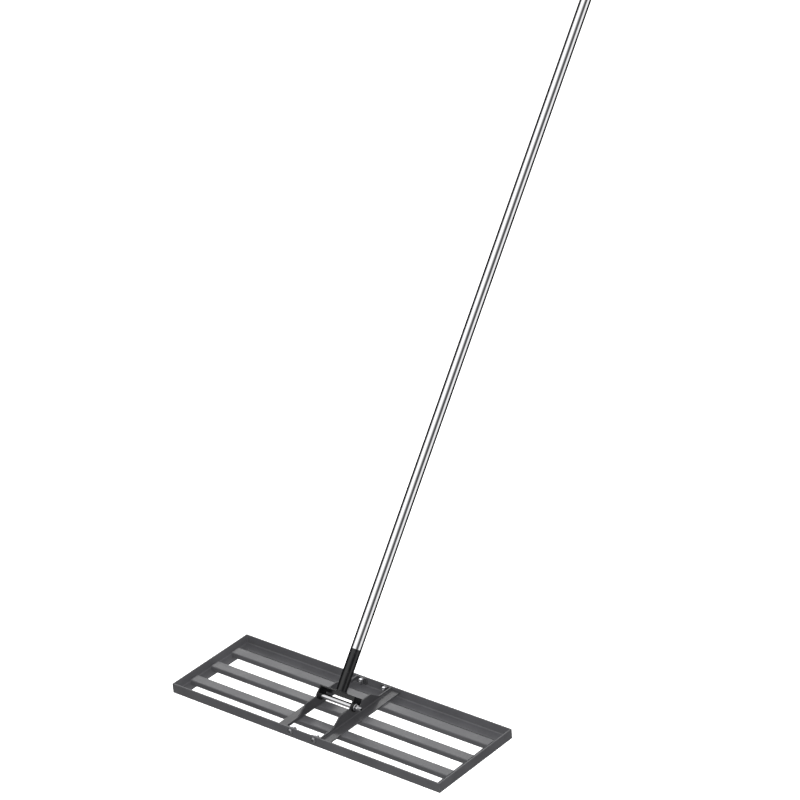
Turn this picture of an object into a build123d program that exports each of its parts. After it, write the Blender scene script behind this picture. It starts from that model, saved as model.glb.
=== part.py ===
"""Hand levelling rake: a slatted steel ground plate, a pivoting yoke and a long handle.

Millimetres. +X runs along the plate, +Y towards the side the handle leans to, and +Z up.
Everything is modelled about the plate's centre on the ground, then moved in Y so that the
row's origin is at the bottom centre of the whole tool's box.
"""

import os
from math import cos, radians

from build123d import *

# Ground plate
PLATE_L = 762.0
PLATE_W = 254.0
RAIL_H = 24.0
RAIL_LEG = 28.0
STEEL_T = 3.0
RAIL_ROOT_R = 2.0
RAIL_EDGE_R = 0.8

SLAT_W = 25.4
SLAT_H = 12.0
SLAT_T = 2.5
SLAT_L = 734.0
SLAT_PITCH = 70.0
SLAT_TOP = STEEL_T + SLAT_H

# Side brackets that carry the pivot
WEB_OUT = 50.0
WEB_IN = WEB_OUT - STEEL_T
FLANGE_OUT = 74.0
WEB_LOW = 23.0
WEB_HIGH = 42.3
RAMP_TOP_Y = 52.0
RAMP_FOOT_Y = 80.0
BOSS_R = 11.0
NOTCH_REACH = 26.6
NOTCH_FLOOR = 34.0
FOLD_OUTER_R = 2.2
FOLD_INNER_R = 1.5
TAB_IN = 20.0
TAB_LOW = 6.0

# Bracket bolts, M8
BOLT_X = 33.0
BOLT_Z = 15.0
BOLT_R = 4.0
BOLT_HOLE_R = 4.2
HEAD_R = 7.2
HEAD_H = 4.4
SOCKET_AF = 5.0
WASHER_R = 8.0
WASHER_T = 1.6
NUT_AF = 13.0
NUT_H = 6.5
THREAD_FIT = 0.05

# Pivot: a shouldered bolt through both brackets and both ears of the yoke
PIVOT_Y = -6.0
PIVOT_Z = 40.5
PIN_R = 6.0
PIN_THREAD_R = 4.0
PIN_HOLE_R = 6.05
PIN_END = 70.5
PIN_HEAD_R = 7.0
PIN_HEAD_H = 3.0
PIN_RECESS_AF = 6.0
PIN_WASHER_R = 8.0
LOCK_NUT_H = 8.0
SIDE_GAP = 0.3

# Yoke
EAR_T = 3.0
EAR_W = 29.0
EAR_TOP = 21.7
EAR_BOTTOM = -10.8
EAR_CORNER_R = 2.0
BACK_LOW = 10.6
LEFT_EAR = -WEB_IN + 4 * SIDE_GAP
RIGHT_EAR = WEB_OUT + SIDE_GAP + EAR_T

# Handle
LEAN = 38.8
HANDLE_X = 3.75
HANDLE_R = 12.5
SOCKET_TOP = 120.0
SOCKET_WALL = 2.5
TUBE_WALL = 1.0
TOOL_REACH = 1829.0
CAP_WALL = 1.5
CAP_SKIRT = 38.0
CAP_END = 3.0
CAP_FIT = 0.05
SPIGOT_DEPTH = 40.0
SPIGOT_BORE_R = 7.0
SPIGOT_FIT = 0.05


def box_between(low, high):
    """A box from its low corner to its high corner."""
    size = [h - l for l, h in zip(low, high)]
    middle = [(h + l) / 2 for l, h in zip(low, high)]
    return Pos(*middle) * Box(*size)


def rounded(shape, radius, keep):
    """The shape with every edge that keep accepts rounded."""
    return fillet(shape.edges().filter_by(keep), radius)


def mitred_rail(length, far_side):
    """An angle rail along X: the wall on the outside, the leg on the ground, both ends mitred.

    far_side is how far the wall's outer face lies from the plate's centre.
    """
    y = -far_side
    section = Polygon(
        (y, 0),
        (y + RAIL_LEG, 0),
        (y + RAIL_LEG, STEEL_T),
        (y + STEEL_T, STEEL_T),
        (y + STEEL_T, RAIL_H),
        (y, RAIL_H),
        align=None,
    )
    root = section.vertices().sort_by_distance((y + STEEL_T, STEEL_T))[0]
    section = fillet(root, RAIL_ROOT_R)
    for corner in ((y, 0), (y, RAIL_H), (y + STEEL_T, RAIL_H), (y + RAIL_LEG, STEEL_T)):
        vertex = section.vertices().sort_by_distance(corner)[0]
        section = fillet(vertex, RAIL_EDGE_R)
    bar = extrude(Plane.YZ * section, length / 2, both=True)
    half = length / 2
    reach = RAIL_LEG
    mitre = Polygon(
        (-half, y),
        (half, y),
        (half - reach, y + reach),
        (-half + reach, y + reach),
        align=None,
    )
    return bar & extrude(mitre, RAIL_H)


def slat(y):
    """A shallow channel, open side down, that lies across the legs of the two side rails."""
    half = SLAT_W / 2
    section = Polygon(
        (-half, 0),
        (-half + SLAT_T, 0),
        (-half + SLAT_T, SLAT_H - SLAT_T),
        (half - SLAT_T, SLAT_H - SLAT_T),
        (half - SLAT_T, 0),
        (half, 0),
        (half, SLAT_H),
        (-half, SLAT_H),
        align=None,
    )
    top_corners = section.vertices().group_by(Axis.Y)[-1]
    section = fillet(top_corners, RAIL_ROOT_R)
    channel = extrude(Plane.YZ * section, SLAT_L / 2, both=True)
    return Pos(0, y, STEEL_T) * channel


def web_profile():
    """Side view of a bracket's web, in Y and Z: ramps, a flat top, a boss round the pivot and,
    behind the boss, a notch that the yoke's bridge swings down into."""
    end = PLATE_W / 2 - STEEL_T
    outline = Polygon(
        (-end, SLAT_TOP),
        (end, SLAT_TOP),
        (end, WEB_LOW),
        (RAMP_FOOT_Y, WEB_LOW),
        (RAMP_TOP_Y, WEB_HIGH),
        (-RAMP_TOP_Y, WEB_HIGH),
        (-RAMP_FOOT_Y, WEB_LOW),
        (-end, WEB_LOW),
        align=None,
    )
    for side in (-1, 1):
        foot = outline.vertices().sort_by_distance((side * RAMP_FOOT_Y, WEB_LOW))[0]
        outline = fillet(foot, 22)
        crest = outline.vertices().sort_by_distance((side * RAMP_TOP_Y, WEB_HIGH))[0]
        outline = fillet(crest, 9)
    notch = Polygon(
        (PIVOT_Y, WEB_HIGH + 1),
        (PIVOT_Y, NOTCH_FLOOR),
        (PIVOT_Y + NOTCH_REACH, NOTCH_FLOOR),
        (PIVOT_Y + NOTCH_REACH, WEB_HIGH + 1),
        align=None,
    )
    notch = fillet(notch.vertices().group_by(Axis.Y)[0], 3)
    boss = Pos(PIVOT_Y, PIVOT_Z) * Circle(BOSS_R)
    hole = Pos(PIVOT_Y, PIVOT_Z) * Circle(PIN_HOLE_R)
    return outline - notch + boss - hole


def bracket(side):
    """One folded bracket: upright web, foot flange turned outwards, an end tab turned inwards
    at each rail. side is -1 on the left and 1 on the right."""
    web = extrude(Plane.YZ * web_profile(), STEEL_T)
    web = Pos(WEB_IN if side > 0 else -WEB_OUT, 0, 0) * web
    end = PLATE_W / 2 - STEEL_T
    flange = box_between(
        (min(side * WEB_IN, side * FLANGE_OUT), -end, SLAT_TOP),
        (max(side * WEB_IN, side * FLANGE_OUT), end, SLAT_TOP + STEEL_T),
    )
    body = web + flange
    for way in (-1, 1):
        near = way * (end - STEEL_T)
        far = way * end
        tab = box_between(
            (min(side * TAB_IN, side * WEB_OUT), min(near, far), TAB_LOW),
            (max(side * TAB_IN, side * WEB_OUT), max(near, far), WEB_LOW),
        )
        body = body + tab
    for radius, x, z in (
        (FOLD_OUTER_R, WEB_IN, SLAT_TOP),
        (FOLD_INNER_R, WEB_OUT, SLAT_TOP + STEEL_T),
    ):
        body = rounded(
            body,
            radius,
            lambda e: e.length > 240
            and abs(abs(e.center().X) - x) < 0.1
            and abs(e.center().Z - z) < 0.1,
        )
    body = rounded(
        body,
        5,
        lambda e: abs(abs(e.center().X) - TAB_IN) < 0.1
        and abs(e.length - STEEL_T) < 0.1
        and abs(e.center().Y) > end - STEEL_T
        and abs(e.center().Z - SLAT_TOP) > 5,
    )
    for way in (-1, 1):
        body = body - Pos(side * BOLT_X, way * end, BOLT_Z) * Rot(90, 0, 0) * Cylinder(
            BOLT_HOLE_R, 3 * STEEL_T
        )
    return body


def bolt_sites():
    """The four bracket bolts: X of the bolt and which rail it goes through."""
    return [(x, way) for way in (-1, 1) for x in (-BOLT_X, BOLT_X)]


def at_rail(piece, x, way):
    """Put a piece modelled along +Z from the rail's outer face, going inwards, on its rail."""
    turn = Rot(-90, 0, 0) if way < 0 else Rot(90, 0, 0)
    return Pos(x, way * PLATE_W / 2, BOLT_Z) * turn * piece


def button_bolt():
    """Button head bolt: dome outside the rail (below z = 0), shank inwards along +Z."""
    length = 2 * STEEL_T + WASHER_T + NUT_H + 2.5
    head_profile = Polyline(
        (0, 0),
        (HEAD_R, 0),
        (HEAD_R, -1.0),
    ) + ThreePointArc((HEAD_R, -1.0), (HEAD_R * 0.78, -HEAD_H * 0.72), (HEAD_R * 0.42, -HEAD_H))
    head_profile = head_profile + Polyline((HEAD_R * 0.42, -HEAD_H), (0, -HEAD_H), (0, 0))
    head = revolve(Plane.XZ * make_face(head_profile.edges()), Axis.Z)
    recess = extrude(RegularPolygon(SOCKET_AF / 2, 6, major_radius=False), 2.6)
    shank = extrude(Circle(BOLT_R), length)
    shank = chamfer(shank.edges().group_by(Axis.Z)[-1], 0.8)
    return head - Pos(0, 0, -HEAD_H) * recess + shank


def washer(inner, outer, thickness):
    """A plain washer on z = 0."""
    return extrude(Circle(outer) - Circle(inner), thickness)


def hex_nut(across, bore, height):
    """A hexagon nut on z = 0 with its corners turned off at both ends."""
    body = extrude(RegularPolygon(across / 2, 6, major_radius=False), height)
    corner = across / 2 / cos(radians(30))
    turned = extrude(Circle(corner), height)
    turned = chamfer(turned.edges(), 0.9)
    return (body & turned) - extrude(Circle(bore), height)


def on_pin(piece, x):
    """Put a piece modelled along +Z on the pivot bolt with its first face at x."""
    return Pos(x, PIVOT_Y, PIVOT_Z) * Rot(0, 90, 0) * piece


def pivot_bolt():
    """Low head outside the left bracket, plain shoulder through all four cheeks, thread end."""
    shoulder_end = RIGHT_EAR + SIDE_GAP
    head = extrude(Circle(PIN_HEAD_R), PIN_HEAD_H)
    head = fillet(head.edges().group_by(Axis.Z)[0], 1.0)
    head = head - extrude(RegularPolygon(PIN_RECESS_AF / 2, 6, major_radius=False), 2.0)
    thread = extrude(Circle(PIN_THREAD_R), PIN_END - shoulder_end)
    thread = chamfer(thread.edges().group_by(Axis.Z)[-1], 1.0)
    bolt = on_pin(head, -WEB_OUT - PIN_HEAD_H)
    bolt = bolt + on_pin(extrude(Circle(PIN_R), shoulder_end + WEB_OUT), -WEB_OUT)
    return bolt + on_pin(thread, shoulder_end)


def yoke():
    """Two ears on the pivot, joined over the top and down the back, open in front. Upright here."""
    ear_r = EAR_W / 2
    ear = Pos(0, EAR_BOTTOM + ear_r) * Circle(ear_r)
    ear = ear + Polygon(
        (-ear_r, EAR_BOTTOM + ear_r),
        (ear_r, EAR_BOTTOM + ear_r),
        (ear_r, EAR_TOP),
        (-ear_r, EAR_TOP),
        align=None,
    )
    ear = ear - Circle(PIN_HOLE_R)
    top = ear.vertices().group_by(Axis.Y)[-1]
    ear = fillet(top, EAR_CORNER_R)
    plate = extrude(Plane.YZ * ear, EAR_T)
    bridge = Polygon(
        (-ear_r, EAR_TOP - EAR_T),
        (ear_r - EAR_T, EAR_TOP - EAR_T),
        (ear_r - EAR_T, BACK_LOW),
        (ear_r, BACK_LOW),
        (ear_r, EAR_TOP),
        (-ear_r, EAR_TOP),
        align=None,
    )
    bridge = fillet(bridge.vertices().group_by(Axis.Y)[-1], EAR_CORNER_R)
    bridge = Pos(LEFT_EAR, 0, 0) * extrude(Plane.YZ * bridge, RIGHT_EAR - LEFT_EAR)
    return Pos(LEFT_EAR, 0, 0) * plate + bridge + Pos(RIGHT_EAR - EAR_T, 0, 0) * plate


def handle_tube_from(low, high, inner):
    """A plain tube along the handle between two distances from the pivot."""
    return Pos(HANDLE_X, 0, low) * extrude(Circle(HANDLE_R) - Circle(inner), high - low)


def socket():
    """The painted stub that stands on the bridge."""
    return handle_tube_from(EAR_TOP, SOCKET_TOP, HANDLE_R - SOCKET_WALL)


def spigot():
    """Stepped hollow plug that joins the stub and the handle tube inside."""
    lower = Circle(HANDLE_R - SOCKET_WALL - SPIGOT_FIT) - Circle(SPIGOT_BORE_R)
    upper = Circle(HANDLE_R - TUBE_WALL - SPIGOT_FIT) - Circle(SPIGOT_BORE_R)
    plug = Pos(0, 0, SOCKET_TOP - SPIGOT_DEPTH) * extrude(lower, SPIGOT_DEPTH)
    plug = plug + Pos(0, 0, SOCKET_TOP) * extrude(upper, SPIGOT_DEPTH)
    return Pos(HANDLE_X, 0, 0) * plug


def end_cap():
    """Moulded cap pulled over the top of the tube."""
    outer = HANDLE_R + CAP_WALL
    height = CAP_SKIRT + CAP_END
    cap = extrude(Circle(outer), height)
    cap = fillet(cap.edges().group_by(Axis.Z)[-1], 5)
    cap = chamfer(cap.edges().group_by(Axis.Z)[0], 0.6)
    cap = cap - extrude(Circle(HANDLE_R + CAP_FIT), CAP_SKIRT)
    return Pos(HANDLE_X, 0, TOOL_REACH - height) * cap


def leaned(piece):
    """Take a piece from the upright handle position to its place on the pivot."""
    return Pos(0, PIVOT_Y, PIVOT_Z) * Rot(-LEAN, 0, 0) * piece


def build_parts():
    """Every node, about the plate's centre on the ground."""
    long_rail = mitred_rail(PLATE_L, PLATE_W / 2)
    short_rail = mitred_rail(PLATE_W, PLATE_L / 2)
    parts = {
        "front_rail": long_rail,
        "back_rail": Rot(0, 0, 180) * long_rail,
        "left_rail": Rot(0, 0, -90) * short_rail,
        "right_rail": Rot(0, 0, 90) * short_rail,
        "front_slat": slat(-SLAT_PITCH),
        "middle_slat": slat(0),
        "rear_slat": slat(SLAT_PITCH),
        "left_bracket": bracket(-1),
        "right_bracket": bracket(1),
    }
    inner_face = 2 * STEEL_T
    bolts = [at_rail(button_bolt(), x, way) for x, way in bolt_sites()]
    washers = [
        at_rail(Pos(0, 0, inner_face) * washer(BOLT_HOLE_R, WASHER_R, WASHER_T), x, way)
        for x, way in bolt_sites()
    ]
    nuts = [
        at_rail(
            Pos(0, 0, inner_face + WASHER_T) * hex_nut(NUT_AF, BOLT_R + THREAD_FIT, NUT_H), x, way
        )
        for x, way in bolt_sites()
    ]
    for way, end in ((-1, "front"), (1, "back")):
        for group, name in ((bolts, "bolts"), (washers, "washers"), (nuts, "nuts")):
            chosen = group[:2] if way < 0 else group[2:]
            parts[f"{end}_bracket_{name}"] = Compound(children=chosen)
    for way, name in ((-1, "front_rail"), (1, "back_rail")):
        for x in (-BOLT_X, BOLT_X):
            drill = Pos(x, way * PLATE_W / 2, BOLT_Z) * Rot(90, 0, 0) * Cylinder(
                BOLT_HOLE_R, 4 * STEEL_T
            )
            parts[name] = parts[name] - drill
    parts["pivot_bolt"] = pivot_bolt()
    nut_side = RIGHT_EAR + SIDE_GAP
    parts["pivot_nut_washer"] = on_pin(washer(BOLT_HOLE_R, PIN_WASHER_R, WASHER_T), nut_side)
    parts["pivot_lock_nut"] = on_pin(
        hex_nut(NUT_AF, PIN_THREAD_R + THREAD_FIT, LOCK_NUT_H), nut_side + WASHER_T
    )
    parts["yoke"] = leaned(yoke())
    parts["handle_socket"] = leaned(socket())
    parts["handle_spigot"] = leaned(spigot())
    parts["handle_tube"] = leaned(
        handle_tube_from(SOCKET_TOP, TOOL_REACH - CAP_END, HANDLE_R - TUBE_WALL)
    )
    parts["handle_end_cap"] = leaned(end_cap())
    return parts


def main():
    os.makedirs("parts", exist_ok=True)
    parts = build_parts()
    boxes = [shape.bounding_box() for shape in parts.values()]
    middle_y = (min(b.min.Y for b in boxes) + max(b.max.Y for b in boxes)) / 2
    print("row origin is at plate Y", round(middle_y, 3))
    for name, shape in parts.items():
        export_step(Pos(0, -middle_y, 0) * shape, f"parts/{name}.step")


main()
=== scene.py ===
"""Looks of the hand levelling rake: powder-coated plate, enamelled yoke, polished tube handle."""

import math
import random

import bmesh
import bpy
from mathutils import Matrix, Vector


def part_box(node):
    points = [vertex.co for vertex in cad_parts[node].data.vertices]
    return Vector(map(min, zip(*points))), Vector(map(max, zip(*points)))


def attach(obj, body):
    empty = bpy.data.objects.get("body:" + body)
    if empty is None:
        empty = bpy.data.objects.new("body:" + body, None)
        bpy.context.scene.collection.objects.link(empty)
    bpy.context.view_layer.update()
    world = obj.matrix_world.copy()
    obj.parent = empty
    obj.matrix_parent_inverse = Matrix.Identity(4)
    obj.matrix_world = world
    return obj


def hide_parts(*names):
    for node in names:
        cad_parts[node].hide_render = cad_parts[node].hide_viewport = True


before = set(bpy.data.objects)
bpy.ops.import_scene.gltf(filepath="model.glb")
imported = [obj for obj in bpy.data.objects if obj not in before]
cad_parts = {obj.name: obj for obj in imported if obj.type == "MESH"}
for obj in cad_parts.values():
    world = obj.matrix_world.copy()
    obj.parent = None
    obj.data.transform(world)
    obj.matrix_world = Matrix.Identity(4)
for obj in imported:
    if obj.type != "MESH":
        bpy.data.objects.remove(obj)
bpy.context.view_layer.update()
random.seed(12)

# Frame of the ground plate, metres
STEEL_T = 0.003
RAIL_LOW, RAIL_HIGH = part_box("right_rail")
PLATE_MID_Y = (RAIL_LOW.y + RAIL_HIGH.y) / 2
PLATE_HALF_L = RAIL_HIGH.x
PLATE_HALF_W = (RAIL_HIGH.y - RAIL_LOW.y) / 2
SLAT_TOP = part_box("middle_slat")[1].z
SLAT_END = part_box("middle_slat")[1].x
SLAT_NODES = ("front_slat", "middle_slat", "rear_slat")
FLANGE_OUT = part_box("right_bracket")[1].x

# Handle
PIVOT_BEHIND_MIDDLE = -0.006
PIVOT_HEIGHT = 0.0405
PIVOT = Vector((0, PLATE_MID_Y + PIVOT_BEHIND_MIDDLE, PIVOT_HEIGHT))
LEAN = math.radians(38.8)
HANDLE_X = 0.00375
HANDLE_R = 0.0125
EAR_TOP = 0.0217
SOCKET_TOP = 0.12
TOOL_REACH = 1.829
CAP_END = 0.003
CAP_SKIRT = 0.038
CAP_R = 0.014
CAP_BORE_R = 0.01255
CAP_CROWN_R = 0.005
CAP_VENT_R = 0.0015
TUBE_WALL = 0.001
HANDLE_FRAME = Matrix.Translation(PIVOT) @ Matrix.Rotation(-LEAN, 4, "X")

# Fasteners, M8
THREAD_R = 0.004
THREAD_PITCH = 0.00125
THREAD_DEPTH = 0.00065
BORE_R = 0.00405
NUT_AF = 0.013
NUT_CHAMFER = 0.0009
COLLAR_R = 0.0061
SOCKET_AF = 0.005
SOCKET_DEPTH = 0.0026
PLAIN_SHANK = 0.0065
THREAD_PAST_NUT = 0.0025
BOLT_X = 0.033
BOLT_Z = 0.015
HEAD_R = 0.0072
HEAD_H = 0.0044
WASHER_T = 0.0016
WASHER_R = 0.008
WASHER_BORE_R = 0.0042
NUT_H = 0.0065
LOCK_NUT_H = 0.008
PIN_R = 0.006
PIN_HEAD_R = 0.007
PIN_HEAD_H = 0.003
PIN_RECESS_AF = 0.006
PIN_RECESS_DEPTH = 0.002
WEB_OUT = 0.05
NUT_SIDE_X = 0.0536
PIN_END = 0.0705

# Camera: where it stands round the tool and what it is aimed at
CAMERA_YAW = math.radians(40.927)
CAMERA_PITCH = math.radians(26.423)
CAMERA_ROLL = math.radians(-4.792)
CAMERA_DISTANCE = 7.3176
CAMERA_AIM = Vector((-0.0545, -0.1556, 0.6088))
CAMERA_LENS = 149.59
SENSOR = 36.0


# Meshes


def finish_mesh(name, bm, sharp=35):
    """Turn a bmesh into an object, smooth but for edges sharper than the given angle."""
    bmesh.ops.recalc_face_normals(bm, faces=bm.faces)
    limit = math.radians(sharp)
    for face in bm.faces:
        face.smooth = True
    for edge in bm.edges:
        if len(edge.link_faces) == 2:
            edge.smooth = edge.calc_face_angle() < limit
    mesh = bpy.data.meshes.new(name)
    bm.to_mesh(mesh)
    bm.free()
    piece = bpy.data.objects.new(name, mesh)
    bpy.context.scene.collection.objects.link(piece)
    return piece


def add_loft(bm, rings, hollow, segments=96, place=Matrix()):
    """Add rings stacked along Z. A ring is (z, radius) and its radius may depend on the angle.

    A hollow loft joins its last ring to its first; a solid one gets a cap at both ends.
    """
    loops = []
    for z, radius in rings:
        loop = []
        for step in range(segments):
            angle = 2 * math.pi * step / segments
            r = radius(angle) if callable(radius) else radius
            point = Vector((r * math.cos(angle), r * math.sin(angle), z))
            loop.append(bm.verts.new(place @ point))
        loops.append(loop)
    pairs = list(zip(loops, loops[1:]))
    if hollow:
        pairs.append((loops[-1], loops[0]))
    for low, high in pairs:
        for i in range(segments):
            j = (i + 1) % segments
            bm.faces.new((low[i], low[j], high[j], high[i]))
    if not hollow:
        bm.faces.new(loops[0])
        bm.faces.new(loops[-1])


def hexagon(across, corner=1.0):
    """Outline of a hexagon as a radius for each angle, cut back to a corner radius."""

    def radius(angle):
        part = angle % (math.pi / 3) - math.pi / 6
        return min(across / 2 / math.cos(part), corner)

    return radius


def thread(start, end, major):
    """Rings of a helical thread, chamfered at its far end."""
    rings = []
    count = round((end - start) / THREAD_PITCH * 8)
    for step in range(count + 1):
        z = start + (end - start) * step / count
        limit = major - max(0, z - (end - 0.0009))
        fade = min(1, (z - start) / 0.0008)

        def radius(angle, z=z, limit=limit, fade=fade):
            phase = (z / THREAD_PITCH - angle / (2 * math.pi)) % 1
            return min(major - THREAD_DEPTH * fade * abs(2 * phase - 1), limit)

        rings.append((z, radius))
    return rings


def nut_rings(height, collar=0.0):
    """A hexagon nut with turned corners, a chamfered bore and, where asked, a round collar."""
    corner = NUT_AF / 2 / math.cos(math.pi / 6)
    body = height - collar
    rings = [(0.0, BORE_R + 0.0005)]
    for z in (0, 0.0002, 0.0004, 0.0006, NUT_CHAMFER):
        rings.append((z, hexagon(NUT_AF, corner - NUT_CHAMFER + z)))
    for z in (NUT_CHAMFER, 0.0006, 0.0004, 0.0002, 0):
        rings.append((body - z, hexagon(NUT_AF, corner - NUT_CHAMFER + z)))
    if collar:
        rings.append((body, COLLAR_R))
        rings.append((height - 0.0007, COLLAR_R))
        rings.append((height - 0.0002, COLLAR_R - 0.0003))
        rings.append((height, COLLAR_R - 0.0008))
    rings.append((height, BORE_R + 0.0005))
    rings.append((height - 0.0005, BORE_R))
    rings.append((0.0005, BORE_R))
    return rings


def washer_rings(inner, outer, thickness):
    """A punched washer: rounded on one face, sharp on the other."""
    return [
        (0.0, inner),
        (0.0, outer - 0.0001),
        (0.0001, outer),
        (thickness - 0.0005, outer),
        (thickness - 0.0002, outer - 0.00015),
        (thickness, outer - 0.0005),
        (thickness, inner + 0.0002),
        (thickness - 0.0002, inner),
    ]


def button_bolt_rings():
    """Button head with a hexagon socket, plain under the head and threaded at its end."""
    top = HEAD_R * 0.42
    rings = [
        (-HEAD_H + SOCKET_DEPTH, hexagon(SOCKET_AF)),
        (-HEAD_H + 0.0003, hexagon(SOCKET_AF)),
        (-HEAD_H, hexagon(SOCKET_AF + 0.00015)),
        (-HEAD_H, top),
    ]
    for step in range(1, 9):
        turn = math.pi / 2 * step / 8
        rings.append(
            (-0.001 - (HEAD_H - 0.001) * math.cos(turn), top + (HEAD_R - top) * math.sin(turn))
        )
    rings += [
        (-0.0002, HEAD_R),
        (0.0, HEAD_R - 0.0002),
        (0.0, THREAD_R),
        (PLAIN_SHANK, THREAD_R),
    ]
    end = 2 * STEEL_T + WASHER_T + NUT_H + THREAD_PAST_NUT
    return rings + thread(PLAIN_SHANK + 0.0001, end, THREAD_R)


def pivot_bolt_rings():
    """Low round head with a hexagon socket, ground shoulder, threaded end."""
    head_x = -WEB_OUT - PIN_HEAD_H
    rings = [
        (head_x + PIN_RECESS_DEPTH, hexagon(PIN_RECESS_AF)),
        (head_x + 0.0003, hexagon(PIN_RECESS_AF)),
        (head_x, hexagon(PIN_RECESS_AF + 0.0002)),
    ]
    for step in range(6):
        turn = math.pi / 2 * step / 5
        rings.append(
            (head_x + 0.001 - 0.001 * math.cos(turn), PIN_HEAD_R - 0.001 + 0.001 * math.sin(turn))
        )
    rings += [
        (-WEB_OUT - 0.0002, PIN_HEAD_R),
        (-WEB_OUT, PIN_HEAD_R - 0.0002),
        (-WEB_OUT, PIN_R),
        (NUT_SIDE_X - 0.0003, PIN_R),
        (NUT_SIDE_X, PIN_R - 0.0003),
        (NUT_SIDE_X, THREAD_R),
    ]
    return rings + thread(NUT_SIDE_X + 0.0001, PIN_END, THREAD_R)


def at_rail(side_x, way):
    """Frame of a bracket bolt: origin on the rail's outer face, +Z going inwards."""
    spot = Vector((side_x, PLATE_MID_Y + way * PLATE_HALF_W, BOLT_Z))
    return Matrix.Translation(spot) @ Matrix.Rotation(math.radians(90 * way), 4, "X")


def on_pin(x):
    """Frame on the pivot bolt with +Z along +X, at a distance from the plate's middle."""
    return Matrix.Translation(PIVOT + Vector((x, 0, 0))) @ Matrix.Rotation(math.pi / 2, 4, "Y")


def add_bead(bm, points, ups, radius, closed=False):
    """Add a weld bead along points: overlapping ripples, half sunk in the joint it covers."""
    around = 12
    count = len(points)
    loops = []
    for i, (point, up) in enumerate(zip(points, ups)):
        after = points[(i + 1) % count] if closed else points[min(i + 1, count - 1)]
        before = points[i - 1] if closed else points[max(i - 1, 0)]
        along = (after - before).normalized()
        side = along.cross(up).normalized()
        ripple = 1 - 0.2 * ((i % 6) / 6) ** 2 + random.uniform(-0.03, 0.03)
        if not closed:
            ripple *= max(0.25, 1 - abs(2 * i / (count - 1) - 1) ** 6)
        loop = []
        for k in range(around):
            angle = 2 * math.pi * k / around
            reach = radius * ripple
            out = side * math.cos(angle) + up * math.sin(angle)
            lag = along * (0.0005 * max(0, math.sin(angle)))
            loop.append(bm.verts.new(point + out * reach - lag))
        loops.append(loop)
    pairs = list(zip(loops, loops[1:]))
    if closed:
        pairs.append((loops[-1], loops[0]))
    for first, second in pairs:
        for k in range(around):
            n = (k + 1) % around
            bm.faces.new((first[k], first[n], second[n], second[k]))
    if not closed:
        bm.faces.new(loops[0])
        bm.faces.new(loops[-1])


def straight(start, end, step=0.0004):
    """Evenly spaced points on a line."""
    count = max(6, round((end - start).length / step))
    return [start.lerp(end, i / count) for i in range(count + 1)]


# Materials


class Look:
    """A node material, with short ways to add and join nodes."""

    def __init__(self, name):
        self.material = bpy.data.materials.new(name)
        self.material.use_nodes = True
        self.tree = self.material.node_tree
        self.bsdf = self.tree.nodes["Principled BSDF"]
        self.place = self.add("ShaderNodeTexCoord").outputs["Object"]

    def add(self, kind, inputs=None, **settings):
        return add_node(self.tree, kind, inputs, **settings)

    def set(self, **inputs):
        for name, value in inputs.items():
            self.feed(name.replace("_", " "), value)

    def feed(self, name, value):
        feed(self.tree, self.bsdf.inputs[name], value)

    def noise(self, scale, detail=2.0, stretch=(1, 1, 1), turn=(0, 0, 0)):
        place = self.add(
            "ShaderNodeMapping",
            {"Vector": self.place, "Scale": stretch, "Rotation": turn},
            vector_type="TEXTURE" if any(turn) else "POINT",
        )
        made = self.add(
            "ShaderNodeTexNoise",
            {"Vector": place.outputs[0], "Scale": scale, "Detail": detail, "Roughness": 0.6},
        )
        return made.outputs[0]

    def span(self, value, low, high, to_low, to_high):
        """Map a range smoothly on to another."""
        return self.add(
            "ShaderNodeMapRange",
            {0: value, 1: low, 2: high, 3: to_low, 4: to_high},
            interpolation_type="SMOOTHSTEP",
        ).outputs[0]

    def math(self, operation, a, b=0.0):
        return self.add("ShaderNodeMath", {0: a, 1: b}, operation=operation).outputs[0]

    def mix(self, factor, a, b):
        """Mix two colours by a factor."""
        return self.add(
            "ShaderNodeMix", {0: factor, 6: a, 7: b}, data_type="RGBA"
        ).outputs[2]

    def bump(self, height, strength, distance, normal=None):
        inputs = {"Height": height, "Strength": strength, "Distance": distance}
        if normal is not None:
            inputs["Normal"] = normal
        return self.add("ShaderNodeBump", inputs).outputs[0]

    def soft_edges(self, radius):
        """The normal with its edges rounded, and a mask that is 1 on edges."""
        rounded = self.add("ShaderNodeBevel", {"Radius": radius}, samples=6).outputs[0]
        true = self.add("ShaderNodeNewGeometry").outputs["Normal"]
        facing = self.add(
            "ShaderNodeVectorMath", {0: rounded, 1: true}, operation="DOT_PRODUCT"
        ).outputs["Value"]
        return rounded, self.span(facing, 0.995, 0.86, 0.0, 1.0)


def feed(tree, socket, value):
    """Join a socket to another, or set its value."""
    if isinstance(value, bpy.types.NodeSocket):
        tree.links.new(value, socket)
    else:
        socket.default_value = value


def add_node(tree, kind, inputs=None, **settings):
    node = tree.nodes.new(kind)
    for name, value in settings.items():
        setattr(node, name, value)
    for name, value in (inputs or {}).items():
        feed(tree, node.inputs[name], value)
    return node


def grey(level, blue=1.0):
    """A neutral colour, a little cooler where blue is over 1."""
    return (level, level, level * blue, 1.0)


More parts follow.
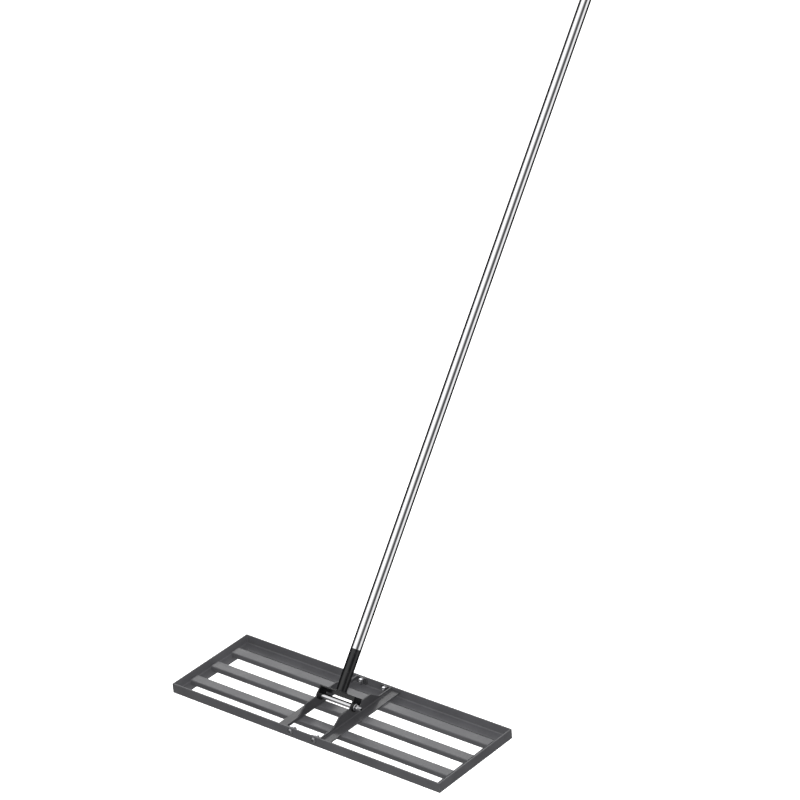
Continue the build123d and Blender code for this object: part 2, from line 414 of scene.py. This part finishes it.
def powder_coat(name, tone):
    """Satin charcoal powder coat: orange peel, faint tone drift, edges painted a lighter grey as
    thin coat wear and a painted highlight.
    """
    look = Look(name)
    drift = look.noise(14.0, 3.0)
    peel = look.noise(520.0, 2.0)
    grain = look.noise(2400.0, 2.0)
    edge_break_noise = look.noise(180.0, 4.0)
    rounded, edge = look.soft_edges(0.0009)
    # Edges painted lighter, broken up by noise: wear and a painted highlight on the edges
    edge_wear_and_highlight = look.math("MULTIPLY", edge, look.span(edge_break_noise, 0.40, 0.62, 0.15, 1.0))
    dark, pale = grey(0.92 * tone, 1.07), grey(1.08 * tone, 1.07)
    base = look.mix(look.span(drift, 0.35, 0.65, 0.0, 1.0), dark, pale)
    speck = look.mix(look.span(grain, 0.60, 0.75, 0.0, 0.35), base, grey(1.6 * tone, 1.05))
    height = look.math("ADD", look.math("MULTIPLY", peel, 0.7), look.math("MULTIPLY", grain, 0.3))
    look.set(
        Base_Color=look.mix(edge_wear_and_highlight, speck, grey(0.14, 1.03)),
        Roughness=look.span(drift, 0.3, 0.7, 0.36, 0.44),
        Normal=look.bump(height, 0.35, 0.00012, rounded),
        IOR=1.5,
    )
    return look.material


def black_enamel():
    """Glossy black enamel on the yoke and socket, with slight sags, and edges painted a lighter
    grey as wear and a painted highlight.
    """
    look = Look("black_enamel")
    sag = look.noise(90.0, 2.0)
    peel = look.noise(420.0, 2.0)
    edge_break_noise = look.noise(200.0, 4.0)
    rounded, edge = look.soft_edges(0.0007)
    # Edges painted lighter, broken up by noise: wear and a painted highlight on the edges
    edge_wear_and_highlight = look.math("MULTIPLY", edge, look.span(edge_break_noise, 0.42, 0.62, 0.0, 0.6))
    base = look.mix(look.span(sag, 0.35, 0.65, 0.0, 1.0), grey(0.003, 1.1), grey(0.005, 1.1))
    height = look.math("ADD", look.math("MULTIPLY", peel, 0.6), look.math("MULTIPLY", sag, 0.4))
    look.set(
        Base_Color=look.mix(edge_wear_and_highlight, base, grey(0.08, 1.03)),
        Roughness=look.span(sag, 0.3, 0.7, 0.20, 0.27),
        Normal=look.bump(height, 0.2, 0.0001, rounded),
        IOR=1.5,
    )
    return look.material


def bare_metal(
    name, level, rough, blue=1.02, stretch=(1, 1, 1), turn=(0, 0, 0), scale=260.0, bump=0.12
):
    """Bare or plated steel with fine marks; stretch and turn draw them out along the piece."""
    look = Look(name)
    marks = look.noise(scale, 4.0, stretch, turn)
    cloud = look.noise(35.0, 2.0)
    tone = look.span(cloud, 0.3, 0.7, 0.0, 1.0)
    look.set(
        Base_Color=look.mix(tone, grey(level * 0.94, blue), grey(level, blue)),
        Metallic=1.0,
        Roughness=look.span(marks, 0.25, 0.75, rough * 0.85, rough * 1.2),
        Normal=look.bump(marks, bump, 0.00005),
    )
    return look.material


def black_plastic():
    """Moulded black plastic with a fine spark-eroded texture."""
    look = Look("black_plastic")
    texture = look.noise(1500.0, 3.0)
    cloud = look.noise(60.0, 2.0)
    look.set(
        Base_Color=look.mix(cloud, grey(0.014), grey(0.022)),
        Roughness=look.span(cloud, 0.3, 0.7, 0.5, 0.6),
        Normal=look.bump(texture, 0.3, 0.0001),
        IOR=1.46,
    )
    return look.material


def studio_white():
    """Pale floor, lit from within a little, like a white sweep under strong light."""
    look = Look("studio_floor")
    cloud = look.noise(1.5, 2.0)
    look.set(
        Base_Color=look.mix(cloud, grey(0.86), grey(0.90)),
        Roughness=0.9,
        Emission_Color=grey(1.0),
        Emission_Strength=0.75,
    )
    return look.material


def dress(piece, material):
    """Give a piece one material."""
    piece.data.materials.clear()
    piece.data.materials.append(material)


# Pieces


def place_piece(piece, body, material, replaced=()):
    """Dress a piece, fix it to its body, and hide the CAD nodes it stands for."""
    dress(piece, material)
    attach(piece, body)
    if replaced:
        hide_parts(*replaced)


def build_fasteners(zinc, steel):
    """Bracket bolts, washers and nuts at both rails, then the pivot's."""
    under = 2 * STEEL_T
    kinds = (
        ("bolts", button_bolt_rings(), False, 0.0),
        ("washers", washer_rings(WASHER_BORE_R, WASHER_R, WASHER_T), True, under),
        ("nuts", nut_rings(NUT_H), True, under + WASHER_T),
    )
    for way, end in ((-1, "front"), (1, "back")):
        for kind, rings, hollow, inwards in kinds:
            bm = bmesh.new()
            for x in (-BOLT_X, BOLT_X):
                spot = at_rail(x, way) @ Matrix.Translation((0, 0, inwards))
                add_loft(bm, rings, hollow, place=spot)
            name = f"{end}_bracket_{kind}"
            piece = finish_mesh(f"{name}_detailed", bm)
            place_piece(piece, "ground_plate", zinc, (name,))
    pivot_kinds = (
        ("pivot_bolt", pivot_bolt_rings(), False, 0.0),
        ("pivot_nut_washer", washer_rings(WASHER_BORE_R, WASHER_R, WASHER_T), True, NUT_SIDE_X),
        ("pivot_lock_nut", nut_rings(LOCK_NUT_H, 0.0022), True, NUT_SIDE_X + WASHER_T),
    )
    for name, rings, hollow, x in pivot_kinds:
        bm = bmesh.new()
        add_loft(bm, rings, hollow, place=on_pin(x))
        piece = finish_mesh(f"{name}_detailed", bm)
        place_piece(piece, "ground_plate", steel, (name,))


def build_handle(chrome, plastic):
    """The polished tube and its ribbed end cap, in the handle's own frame."""
    place = HANDLE_FRAME @ Matrix.Translation((HANDLE_X, 0, 0))
    top = TOOL_REACH - CAP_END
    inner = HANDLE_R - TUBE_WALL
    bm = bmesh.new()
    rings = [
        (SOCKET_TOP, inner),
        (SOCKET_TOP, HANDLE_R - 0.0003),
        (SOCKET_TOP + 0.0003, HANDLE_R),
        (top - 0.0003, HANDLE_R),
        (top, HANDLE_R - 0.0003),
        (top, inner),
    ]
    add_loft(bm, rings, True, segments=160, place=place)
    tube = finish_mesh("handle_tube_polished", bm)
    place_piece(tube, "handle", chrome, ("handle_tube",))

    foot = TOOL_REACH - CAP_END - CAP_SKIRT
    rings = [(foot, CAP_BORE_R), (foot, CAP_R - 0.0006), (foot + 0.0006, CAP_R)]
    for rib in range(7):
        z = foot + 0.005 + 0.0035 * rib
        rings += [
            (z, CAP_R),
            (z + 0.0004, CAP_R - 0.0005),
            (z + 0.0012, CAP_R - 0.0005),
            (z + 0.0016, CAP_R),
        ]
    for step in range(9):
        turn = math.pi / 2 * step / 8
        rings.append(
            (
                TOOL_REACH - CAP_CROWN_R + CAP_CROWN_R * math.sin(turn),
                CAP_R - CAP_CROWN_R + CAP_CROWN_R * math.cos(turn),
            )
        )
    rings += [(TOOL_REACH, CAP_VENT_R), (top, CAP_VENT_R), (top, CAP_BORE_R)]
    bm = bmesh.new()
    add_loft(bm, rings, True, place=place)
    cap = finish_mesh("handle_end_cap_ribbed", bm)
    place_piece(cap, "handle", plastic, ("handle_end_cap",))


def build_welds(paint, enamel):
    """Painted weld beads: slat ends, rail corners, bracket flanges, and the handle's foot."""
    bm = bmesh.new()
    up = Vector((0, 0, 1))
    for node in SLAT_NODES:
        low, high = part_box(node)
        for side in (-1, 1):
            for x, z, radius in ((SLAT_END, STEEL_T, 0.0016), (FLANGE_OUT, SLAT_TOP, 0.0014)):
                start = Vector((side * x, low.y + 0.002, z))
                end = Vector((side * x, high.y - 0.002, z))
                points = straight(start, end)
                add_bead(bm, points, [up] * len(points), radius)
    for side in (-1, 1):
        for way in (-1, 1):
            corner = Vector((
                side * (PLATE_HALF_L - STEEL_T),
                PLATE_MID_Y + way * (PLATE_HALF_W - STEEL_T),
                0,
            ))
            points = straight(corner + up * 0.004, corner + up * 0.022)
            inward = Vector((-side, -way, 0)).normalized()
            add_bead(bm, points, [inward] * len(points), 0.0015)
    welds = finish_mesh("plate_welds", bm, sharp=60)
    place_piece(welds, "ground_plate", paint)

    bm = bmesh.new()
    points, ups = [], []
    for step in range(168):
        angle = 2 * math.pi * step / 168
        out = Vector((math.cos(angle), math.sin(angle), 0))
        foot = Vector((HANDLE_X, 0, EAR_TOP)) + out * HANDLE_R
        points.append(HANDLE_FRAME @ foot)
        ups.append((HANDLE_FRAME.to_3x3() @ (out + up)).normalized())
    add_bead(bm, points, ups, 0.0022, closed=True)
    weld = finish_mesh("socket_weld", bm, sharp=60)
    place_piece(weld, "handle", enamel)


# Studio


def build_floor():
    """A pale sweep. Bounced rays pass through it, so it lights nothing from below."""
    bm = bmesh.new()
    bmesh.ops.create_grid(bm, x_segments=8, y_segments=8, size=30)
    floor = finish_mesh("studio_floor", bm)
    dress(floor, studio_white())
    floor.visible_glossy = False
    floor.visible_diffuse = False


def build_world():
    """A pale room, plain white to the camera, with flags round the tube.

    Glossy rays that leave nearly square to the handle's rest lean see a ring of white panels and
    black flags instead of the room. The ring stays at the rest lean when the handle moves.
    """
    world = bpy.data.worlds.new("studio")
    bpy.context.scene.world = world
    world.use_nodes = True
    tree = world.node_tree
    direction = add_node(tree, "ShaderNodeTexCoord").outputs["Generated"]
    along = Vector((0, math.sin(LEAN), math.cos(LEAN)))
    across = Vector((0, -math.cos(LEAN), math.sin(LEAN)))

    def dot(vector):
        return add_node(
            tree, "ShaderNodeVectorMath", {0: direction, 1: vector}, operation="DOT_PRODUCT"
        ).outputs["Value"]

    def calc(operation, a, b=0.0):
        return add_node(tree, "ShaderNodeMath", {0: a, 1: b}, operation=operation).outputs[0]

    def span(value, low, high, to_low, to_high):
        return add_node(
            tree,
            "ShaderNodeMapRange",
            {0: value, 1: low, 2: high, 3: to_low, 4: to_high},
            interpolation_type="SMOOTHSTEP",
        ).outputs[0]

    turn = calc("ARCTAN2", dot(Vector((1, 0, 0))), dot(across))
    ramp = add_node(tree, "ShaderNodeValToRGB", {0: span_linear(tree, turn)})
    # Degrees round the handle from its upper side, and how bright the ring is there
    stops = (
        (-180, 0.0),
        (-66, 0.0),
        (-48, 0.15),
        (-34, 1.0),
        (8, 1.0),
        (38, 0.13),
        (50, 0.05),
        (68, 0.05),
        (90, 0.78),
        (116, 0.78),
        (130, 0.0),
        (180, 0.0),
    )
    elements = ramp.color_ramp.elements
    while len(elements) < len(stops):
        elements.new(0.5)
    for element, (degrees, level) in zip(elements, stops):
        element.position = (degrees + 180) / 360
        element.color = grey(level)
    ring = calc("MULTIPLY", ramp.outputs[0], 1.25)
    axial = calc("ABSOLUTE", dot(along))
    beside = span(axial, 0.25, 0.5, 1.0, 0.0)

    height = dot(Vector((0, 0, 1)))
    depth = dot(Vector((0, 1, 0)))
    sky = span(height, -0.05, 0.7, 0.62, 0.7)
    floor = span(depth, -0.1, 0.5, 0.25, 0.3)
    is_sky = span(height, -0.06, 0.02, 0.0, 1.0)
    below = calc("SUBTRACT", 1.0, is_sky)
    room = calc("ADD", calc("MULTIPLY", sky, is_sky), calc("MULTIPLY", floor, below))
    path = add_node(tree, "ShaderNodeLightPath")
    flagged = calc("MULTIPLY", beside, path.outputs["Is Glossy Ray"])
    unflagged = calc("SUBTRACT", 1.0, flagged)
    lit = calc("ADD", calc("MULTIPLY", room, unflagged), calc("MULTIPLY", ring, flagged))
    seen = path.outputs["Is Camera Ray"]
    level = calc("ADD", calc("MULTIPLY", lit, calc("SUBTRACT", 1.0, seen)), seen)
    feed(tree, tree.nodes["Background"].inputs["Color"], grey(1.0))
    feed(tree, tree.nodes["Background"].inputs["Strength"], level)


def span_linear(tree, value):
    """Map an angle in radians, -pi to pi, on to 0 to 1."""
    return add_node(
        tree, "ShaderNodeMapRange", {0: value, 1: -math.pi, 2: math.pi, 3: 0.0, 4: 1.0}
    ).outputs[0]


def soft_light(name, target, towards, distance, size, energy, spread=180):
    """An area light aimed at a target from a direction; the camera doesn't see it."""
    data = bpy.data.lights.new(name, "AREA")
    data.shape = "RECTANGLE"
    data.size, data.size_y = size
    data.spread = math.radians(spread)
    data.energy = energy
    light = bpy.data.objects.new(name, data)
    spot = target + Vector(towards).normalized() * distance
    light.location = spot
    light.rotation_euler = (target - spot).to_track_quat("-Z", "Y").to_euler()
    light.visible_camera = False
    bpy.context.scene.collection.objects.link(light)
    return light


def build_lights():
    """A narrow sheen light low behind the left end, and a shadowless fill from the front right."""
    left_end = Vector((-PLATE_HALF_L, PLATE_MID_Y, 0))
    soft_light("key", left_end, (-0.62, 0.66, 0.44), 2.2, (1.6, 1.2), 0.6, spread=26)
    middle = Vector((0, PLATE_MID_Y, 0))
    fill = soft_light("fill", middle, (0.58, -0.54, 0.61), 4.0, (2.0, 2.0), 240)
    fill.data.use_shadow = False
    fill.visible_glossy = False


def build_camera():
    """A long lens, placed by the turns and distance named at the top."""
    yaw, pitch, roll = CAMERA_YAW, CAMERA_PITCH, CAMERA_ROLL
    back = Vector((
        math.sin(yaw) * math.cos(pitch),
        -math.cos(yaw) * math.cos(pitch),
        math.sin(pitch),
    ))
    level = Vector((math.cos(yaw), math.sin(yaw), 0))
    upright = back.cross(level)
    right = level * math.cos(roll) + upright * math.sin(roll)
    up = upright * math.cos(roll) - level * math.sin(roll)
    data = bpy.data.cameras.new("camera")
    data.lens = CAMERA_LENS
    data.sensor_width = SENSOR
    data.clip_end = 100
    camera = bpy.data.objects.new("camera", data)
    place = Matrix((right, up, back)).transposed().to_4x4()
    place.translation = CAMERA_AIM + back * CAMERA_DISTANCE
    camera.matrix_world = place
    bpy.context.scene.collection.objects.link(camera)
    bpy.context.scene.camera = camera


def dress_frame(paint, bracket_paint, enamel, brushed):
    """Give the CAD nodes that stay their finish."""
    finishes = {
        "left_bracket": bracket_paint,
        "right_bracket": bracket_paint,
        "yoke": enamel,
        "handle_socket": enamel,
        "handle_spigot": brushed,
    }
    for name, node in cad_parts.items():
        dress(node, finishes.get(name, paint))


def main():
    paint = powder_coat("black_powder_coat", 0.062)
    bracket_paint = powder_coat("bracket_powder_coat", 0.030)
    chrome = bare_metal(
        "polished_tube", 0.93, 0.12, stretch=(1, 1, 50), turn=(-LEAN, 0, 0), scale=900.0, bump=0.04
    )
    zinc = bare_metal("zinc_plate", 0.42, 0.24, blue=1.04)
    steel = bare_metal("ground_steel", 0.82, 0.16, stretch=(0.05, 1, 1), scale=900.0)
    brushed = bare_metal("spigot_steel_brushed", 0.6, 0.4)
    enamel = black_enamel()
    dress_frame(paint, bracket_paint, enamel, brushed)
    build_fasteners(zinc, steel)
    build_handle(chrome, black_plastic())
    build_welds(paint, enamel)
    build_floor()
    build_world()
    build_lights()
    build_camera()
    bpy.context.scene.view_settings.view_transform = "Standard"


main()
